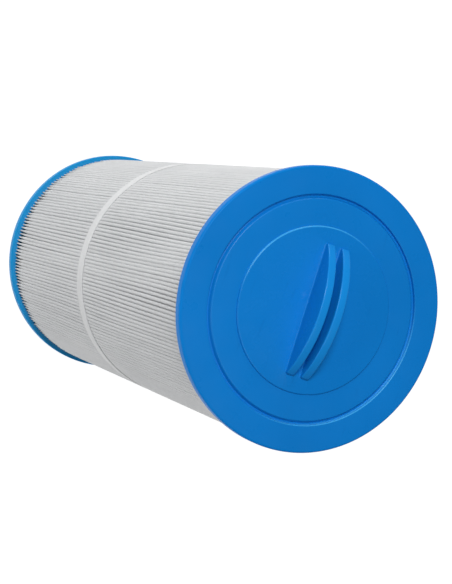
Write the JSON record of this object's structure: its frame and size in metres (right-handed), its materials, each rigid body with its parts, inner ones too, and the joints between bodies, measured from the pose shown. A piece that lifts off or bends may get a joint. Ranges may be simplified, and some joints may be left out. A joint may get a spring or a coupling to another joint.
{
  "type": "spa filter cartridge",
  "caption": "Upright pleated filter cartridge with two round end caps, a double-fin grip on top, a middle band and a threaded nipple below.",
  "frame": {"origin": "centre of the nipple's lower end face", "axes": "+Z along the cartridge from the nipple to the grip; X along the grip's fins; -Y is the side away from the media's seam"},
  "size_m": [0.1524, 0.1524, 0.3686],
  "materials": {
    "cap_plastic": "satin moulded urethane",
    "grip_plastic": "satin moulded plastic",
    "nipple_plastic": "satin moulded plastic",
    "gasket_rubber": "matte",
    "core_plastic": "moulded, matte",
    "media_fabric": "spun-bonded polyester, pleated",
    "band_fabric": "woven polyester tape",
    "seam_glue": "hot-melt glue"
  },
  "bodies": {
    "root": {"top_end_cap": "cap_plastic", "handle_plate": "grip_plastic", "pleated_media": "media_fabric", "media_band": "band_fabric", "media_seam": "seam_glue", "core_upper": "core_plastic", "core_coupling": "core_plastic", "core_lower": "core_plastic", "bottom_end_cap": "cap_plastic", "threaded_nipple": "nipple_plastic", "nipple_gasket": "gasket_rubber"}
  },
  "joints": []
}
